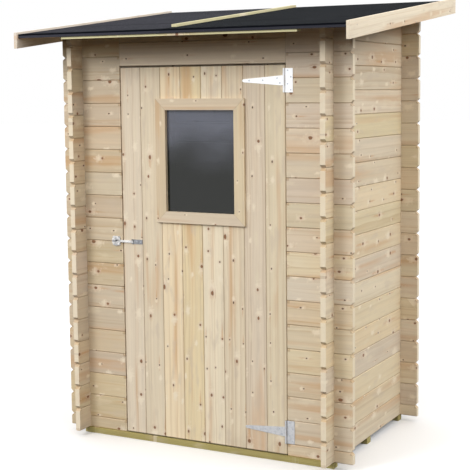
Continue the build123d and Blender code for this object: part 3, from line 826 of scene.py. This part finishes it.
def add_rings(mesh, place, radius, sides, profile):
    """Round wall through rings, each a share of the radius at a level; returns the last ring."""
    rings = []
    for share, level in profile:
        ring = []
        for step in range(sides):
            angle = step * math.tau / sides
            spot = Vector((math.cos(angle) * radius * share, math.sin(angle) * radius * share, level))
            ring.append(mesh.verts.new(place @ spot))
        rings.append(ring)
    for lower, upper in zip(rings, rings[1:]):
        for step in range(sides):
            after = (step + 1) % sides
            mesh.faces.new((lower[step], lower[after], upper[after], upper[step]))
    return rings[-1]


def add_screw(mesh, place, radius, turn):
    """Countersunk screw head with a sunk cross, sitting just proud of the metal."""
    rise = radius * SCREW_RISE
    sunk = radius * SCREW_SUNK
    wide = radius * CROSS_WIDE
    long = radius * CROSS_LONG
    spin = place @ Matrix.Rotation(turn, 4, "Z")
    profile = ((1.0, 0.0), (0.93, rise * 0.8), (0.8, rise))
    outer = add_rings(mesh, spin, radius, SCREW_SIDES, profile)
    cross = [(wide, long), (-wide, long), (-wide, wide), (-long, wide), (-long, -wide), (-wide, -wide)]
    cross += [(-x, -y) for x, y in cross]
    top = [mesh.verts.new(spin @ Vector((x, y, rise))) for x, y in cross]
    floor = []
    for x, y in cross:
        floor.append(mesh.verts.new(spin @ Vector((x * CROSS_TAPER, y * CROSS_TAPER, rise - sunk))))
    corners = len(cross)
    for step in range(corners):
        after = (step + 1) % corners
        mesh.faces.new((top[step], top[after], floor[after], floor[step]))
    mesh.faces.new(floor)
    edges = []
    for loop in (outer, top):
        for step, corner in enumerate(loop):
            edges.append(mesh.edges.get((corner, loop[(step + 1) % len(loop)])))
    bmesh.ops.triangle_fill(mesh, edges=edges, use_beauty=True)


def add_nail(mesh, place):
    """Flat nail head with a rounded edge."""
    rise = NAIL_RADIUS * NAIL_RISE
    profile = ((1.0, 0.0), (0.98, rise * 0.5), (0.8, rise * 0.93), (0.3, rise))
    mesh.faces.new(add_rings(mesh, place, NAIL_RADIUS, NAIL_SIDES, profile))


def metal_piece(name, mesh, material, body):
    """Puts finished heads into the scene, riding on a body."""
    bmesh.ops.recalc_face_normals(mesh, faces=mesh.faces)
    data = bpy.data.meshes.new(name)
    mesh.to_mesh(data)
    mesh.free()
    data.materials.append(material)
    piece = bpy.data.objects.new(name, data)
    bpy.context.scene.collection.objects.link(piece)
    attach(piece, body)


def screws(name, places, radius, material, body):
    mesh = bmesh.new()
    for number, place in enumerate(places):
        add_screw(mesh, place, radius, 0.7 * number + 0.3)
    metal_piece(name, mesh, material, body)


def nails(name, places, material, body):
    mesh = bmesh.new()
    for place in places:
        add_nail(mesh, place)
    metal_piece(name, mesh, material, body)


# Parts of the shed

def dress_walls():
    half = WALL_FOOT - BOARD_COVER / 2
    walls = (
        ("wall_left", ALONG_Y, WALL_FOOT, 3.0, SPRUCE_PALE, 0.62),
        ("wall_right", ALONG_Y, WALL_FOOT, 11.0, SPRUCE_YELLOW, 0.42),
        ("wall_rear", ALONG_X, half, 5.0, SPRUCE_PALE, 0.62),
        # The front wall left of the door carries painted shade in its darker spruce
        ("wall_front_left", ALONG_X, half, 7.0, SPRUCE_PAINTED_SHADE, 0.62),
        ("wall_front_right", ALONG_X, half, 19.0, SPRUCE_PALE, 0.62),
    )
    for name, along, first_edge, seed, pale, knot_share in walls:
        low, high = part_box(name)
        boards = wood(
            f"spruce {name}",
            along,
            ALONG_Z,
            BOARD_COVER,
            first_edge,
            seed,
            pale=pale,
            knot_share=knot_share,
            cuts=(low.dot(Vector(along)), high.dot(Vector(along))),
        )
        finish_nodes(boards, name)
    low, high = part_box("wall_front_header")
    # Painted shade at the header's ends, where it meets the wall boards
    ends = (low.x, high.x, 0.25)
    header = wood("spruce header", ALONG_X, ALONG_Z, BOARD_COVER, low.z, 23.0, ends=ends, gloss=0.0)
    finish_nodes(header, "wall_front_header")


def dress_door():
    low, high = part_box("door_boards")
    boards = wood(
        "spruce door",
        ALONG_Z,
        ALONG_X,
        DOOR_BOARD_WIDTH,
        low.x,
        31.0,
        pale=SPRUCE_DOOR,
        knot_share=0.66,
        tint=1.3,
        # painted shade in the gaps above and below the door
        ends=(low.z, high.z, 0.75),
    )
    finish_nodes(boards, "door_boards")
    low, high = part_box("door_brace")
    lean = Vector((low.x - high.x, 0, high.z - low.z)).normalized()
    square = Vector((lean.z, 0, -lean.x))

    # Single pieces: direction, across, a width and first edge that hold the whole piece, and seed.
    singles = (
        ("spruce ledges", ALONG_X, ALONG_Z, 0.5, 0.0, 37.0, "door_ledges"),
        ("spruce brace", lean, square, 5.0, -2.5, 41.0, "door_brace"),
        ("spruce left post", ALONG_Z, ALONG_X, 1.0, -1.0, 43.0, "door_post_left"),
        ("spruce right post", ALONG_Z, ALONG_X, 1.0, 0.0, 47.0, "door_post_right"),
        ("spruce door head", ALONG_X, ALONG_Z, 5.0, 0.0, 53.0, "door_head"),
    )
    for title, along, across, width, first_edge, seed, name in singles:
        finish_nodes(wood(title, along, across, width, first_edge, seed, joint=0.0), name)


def dress_window():
    low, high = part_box("window_trim_outside")
    half_width = (high.x - low.x) / 2 - TRIM_WIDTH
    half_height = (high.z - low.z) / 2 - TRIM_WIDTH
    trim = wood(
        "spruce window trim",
        ALONG_X,
        ALONG_Z,
        1.0,
        0.0,
        59.0,
        pale=SPRUCE_TRIM,
        knot_size=0.6,
        joint=0.0012,
        window=(tuple((low + high) / 2), half_width, half_height),
    )
    finish_nodes(trim, "window_trim_outside", "window_trim_inside", "window_beads")
    finish_nodes(window_glass(), "window_pane")


def dress_roof():
    low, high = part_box("roof_boards")
    width = (high.x - low.x) / ROOF_BOARDS
    # The roof boards get a darker spruce as painted shade under the overhang
    dim = {"pale": SPRUCE_PAINTED_ROOF_SHADE, "gloss": 0.0}
    finish_nodes(wood("spruce roof boards", UP_SLOPE, ALONG_X, width, low.x, 61.0, **dim), "roof_boards")
    planed = {"joint": 0.0, "knot_share": 0.35, "gloss": 0.05}
    left = wood("spruce left barge", UP_SLOPE, OFF_SLOPE, 5.0, 0.0, 67.0, pale=SPRUCE_GREYISH, **planed)
    right = wood("spruce right barge", UP_SLOPE, OFF_SLOPE, 5.0, 0.0, 71.0, pale=SPRUCE_CREAMY, **planed)
    finish_nodes(left, "barge_board_left")
    finish_nodes(right, "barge_board_right")
    green = {"pale": TREATED_PALE, "late": TREATED_LATE, "joint": 0.0, "tint": 0.5, "knot_share": 0.3}
    eaves = wood("treated eaves battens", ALONG_X, ALONG_Y, 0.5, 0.0, 73.0, **green)
    finish_nodes(eaves, "eaves_batten_front", "eaves_batten_rear")
    seam = wood("treated seam batten", UP_SLOPE, ALONG_X, 5.0, -2.5, 79.0, **green)
    finish_nodes(seam, "roof_seam_batten")
    finish_nodes(felt(), "roof_felt")


def dress_base():
    low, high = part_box("floor_boards")
    width = (high.x - low.x) / FLOOR_BOARDS
    finish_nodes(wood("spruce floor", ALONG_Y, ALONG_X, width, low.x, 83.0), "floor_boards")
    olive = {"pale": OLIVE_PALE, "late": OLIVE_LATE, "tint": 0.7, "joint": 0.0, "ring_width": 0.008}
    bearers = wood("treated bearers", ALONG_X, ALONG_Y, 0.3, 0.0, 89.0, **olive)
    finish_nodes(bearers, "bearer_front", "bearer_middle", "bearer_rear")


def dress_metal():
    bright = zinc("bright zinc", linear(252, 253, 254), linear(236, 239, 243), 0.5)
    grey = zinc("dull zinc", linear(190, 192, 196), linear(168, 171, 176))
    dark = zinc("dark zinc", linear(150, 152, 155), linear(104, 107, 112))
    shiny = zinc("worn zinc", linear(226, 224, 221), linear(138, 139, 142))
    finish_nodes(bright, "hinge_strap_upper", "hinge_plate_upper", "hinge_pin_upper")
    finish_nodes(grey, "hinge_strap_lower", "hinge_plate_lower", "hinge_pin_lower")
    finish_nodes(dark, "hasp_leaf", "hasp_pin", "staple_eye")
    finish_nodes(shiny, "hasp_strap", "staple_plate")

    # The hinges' screws are placed from the pin's axis and the hinge's middle height.
    steel = zinc("screw heads", linear(176, 182, 192), linear(138, 144, 154))
    knuckle = 0.005  # radius of the hinges' knuckles
    plate_spots = ((0.0185, 0.045), (0.0345, 0.0155), (0.0176, -0.016), (0.033, -0.043))
    strap_spots = ((-0.109, 0.0012), (-0.0355, 0.0103), (-0.0215, -0.0117), (-0.180, 0.0))
    front = (0, -1, 0)
    face = FRONT_Y - HINGE_THICK
    for name in ("upper", "lower"):
        low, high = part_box(f"hinge_plate_{name}")
        middle = (low.z + high.z) / 2
        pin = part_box(f"hinge_strap_{name}")[1].x - knuckle
        places = [facing((pin + x, face, middle + z), front) for x, z in plate_spots]
        screws(f"plate_screws_{name}", places, HINGE_SCREW, steel, "shed")
        places = [facing((pin + x, face, middle + z), front) for x, z in strap_spots]
        screws(f"strap_screws_{name}", places, HINGE_SCREW, steel, "door")
    low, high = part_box("hasp_leaf")
    middle = (low.z + high.z) / 2
    places = [facing((high.x - x, face, middle), front) for x in (0.010, 0.034)]
    screws("hasp_screws", places, HASP_SCREW, steel, "door")
    low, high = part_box("staple_plate")
    inset = 0.006
    places = []
    for x in (low.x + inset, high.x - inset):
        for z in (low.z + inset, high.z - inset):
            places.append(facing((x, low.y, z), front))
    screws("staple_screws", places, STAPLE_SCREW, steel, "shed")


def dress_nails():
    """Nail heads along the barge boards and the seam batten, a hair above the wood."""
    steel = zinc("nail heads", linear(120, 112, 102), linear(84, 78, 70))
    sunk = NAIL_RADIUS * NAIL_RISE - NAIL_PROUD
    barge_half = 0.040  # from the barge board's upper edge down to its middle
    barge_spots = ((0.055, 0.016), (0.35, -0.012), (0.65, 0.014), (0.945, -0.012))
    slope = Vector(UP_SLOPE)
    off = Vector(OFF_SLOPE)
    for side, name in ((-1, "left"), (1, "right")):
        low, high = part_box(f"barge_board_{name}")
        x = (low.x if side < 0 else high.x) - side * sunk
        length = (high.y - low.y) / math.cos(ROOF_SLOPE)
        middle = high.z - (high.y - low.y) * math.tan(ROOF_SLOPE) - barge_half
        foot = Vector((x, low.y, middle))
        places = []
        for share, level in barge_spots:
            places.append(facing(foot + slope * (share * length) + off * level, (side, 0, 0)))
        nails(f"barge_nails_{name}", places, steel, "shed")
    low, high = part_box("roof_seam_batten")
    count = 6
    inset = 0.04
    places = []
    for number in range(count):
        y = low.y + inset + number * (high.y - low.y - 2 * inset) / (count - 1)
        z = high.z - (high.y - y) * math.tan(ROOF_SLOPE)
        places.append(facing(Vector(((low.x + high.x) / 2, y, z)) - off * sunk, OFF_SLOPE))
    nails("seam_nails", places, steel, "shed")


dress_walls()
dress_door()
dress_window()
dress_roof()
dress_base()
dress_metal()
dress_nails()


# Studio

PICTURE = 470
FOCAL = 1143.65  # in pixels of the picture
PICTURE_MIDDLE = (270.5, 210.5)  # where the camera points, in pixels from the upper left
EYE = (2.74117, -5.17942, 1.73429)
YAW, PITCH, ROLL = 26.659, -5.936, -0.428
SENSOR = 36.0
LAMP_SIZE = 3.0
SOFT_LIGHT = 1.36
LEAST_LIGHT = 0.03  # from below the horizon
HORIZON = (-0.02, 0.18)  # height of a direction where the soft light starts and is full
OVERHEAD = (0.75, 1.0, 1.0, 0.45)  # the soft light weakens towards the zenith
FLOOR_RADIUS = 60.0
FLOOR_SIDES = 96
WHITE = (1.0, 1.0, 1.0, 1.0)


def look(eye, yaw, pitch, roll):
    """Camera placement from the eye and three angles in degrees."""
    yaw, pitch, roll = (math.radians(angle) for angle in (yaw, pitch, roll))
    ahead = Vector((-math.sin(yaw) * math.cos(pitch), math.cos(yaw) * math.cos(pitch), math.sin(pitch)))
    right = ahead.cross(Vector((0, 0, 1))).normalized()
    up = right.cross(ahead)
    level = math.cos(roll) * right + math.sin(roll) * up
    upright = -math.sin(roll) * right + math.cos(roll) * up
    turn = Matrix((level, upright, -ahead)).transposed().to_4x4()
    return Matrix.Translation(eye) @ turn


def set_camera():
    data = bpy.data.cameras.new("camera")
    camera = bpy.data.objects.new("camera", data)
    bpy.context.scene.collection.objects.link(camera)
    camera.matrix_world = look(Vector(EYE), YAW, PITCH, ROLL)
    data.sensor_width = SENSOR
    data.lens = FOCAL / PICTURE * SENSOR
    data.shift_x = (PICTURE / 2 - PICTURE_MIDDLE[0]) / PICTURE
    data.shift_y = (PICTURE_MIDDLE[1] - PICTURE / 2) / PICTURE
    data.clip_end = 100.0
    bpy.context.scene.camera = camera


def soft_lamp(name, place, target, power):
    data = bpy.data.lights.new(name, "AREA")
    data.shape = "DISK"
    data.size = LAMP_SIZE
    data.energy = power
    lamp = bpy.data.objects.new(name, data)
    bpy.context.scene.collection.objects.link(lamp)
    aim = (Vector(target) - Vector(place)).to_track_quat("-Z", "Y")
    lamp.matrix_world = Matrix.Translation(place) @ aim.to_matrix().to_4x4()


def seen_white(bench):
    """1 on rays of the camera, metal and glass, and 0 on rays of soft light."""
    paths = bench.node("ShaderNodeLightPath").outputs
    seen = bench.maths("MAXIMUM", paths["Is Camera Ray"], paths["Is Glossy Ray"])
    return bench.maths("MAXIMUM", seen, paths["Is Transmission Ray"])


def set_world():
    """White where the camera, glass and metal see it, plain soft light elsewhere."""
    world = bpy.data.worlds.new("white room")
    world.use_nodes = True
    bpy.context.scene.world = world
    bench = Bench(world.node_tree)
    height = bench.split(bench.node("ShaderNodeTexCoord").outputs["Generated"])[2]
    overhead = bench.fade(height, *OVERHEAD)
    soft = bench.times_plus(bench.fade(height, *HORIZON), bench.times(overhead, SOFT_LIGHT), LEAST_LIGHT)
    background = world.node_tree.nodes["Background"]
    background.inputs["Color"].default_value = WHITE
    bench.feed(background.inputs["Strength"], bench.pick_value(seen_white(bench), soft, 1.0))


def set_floor():
    """Pale floor, which throws little light back up under the eaves."""
    mesh = bmesh.new()
    bmesh.ops.create_circle(mesh, cap_ends=True, radius=FLOOR_RADIUS, segments=FLOOR_SIDES)
    data = bpy.data.meshes.new("studio_floor")
    mesh.to_mesh(data)
    mesh.free()
    floor = bpy.data.objects.new("studio_floor", data)
    floor.location = (0, 0, -0.0005)
    bpy.context.scene.collection.objects.link(floor)
    material, bench, shader = new_finish("pale studio floor")
    dim = (0.02, 0.02, 0.02, 1.0)
    pale = (0.9, 0.9, 0.9, 1.0)
    bench.feed(shader.inputs["Base Color"], bench.colour(seen_white(bench), dim, pale))
    shader.inputs["Roughness"].default_value = 0.9
    shader.inputs["Specular IOR Level"].default_value = 0.0
    data.materials.append(material)


set_camera()
set_world()
set_floor()
soft_lamp("key", (-2.8, -6.2, 5.0), (0, 0, 1.1), 235.0)
soft_lamp("fill", (5.5, 0.5, 4.2), (0.7, 0, 1.1), 105.0)
bpy.context.scene.view_settings.view_transform = "Standard"
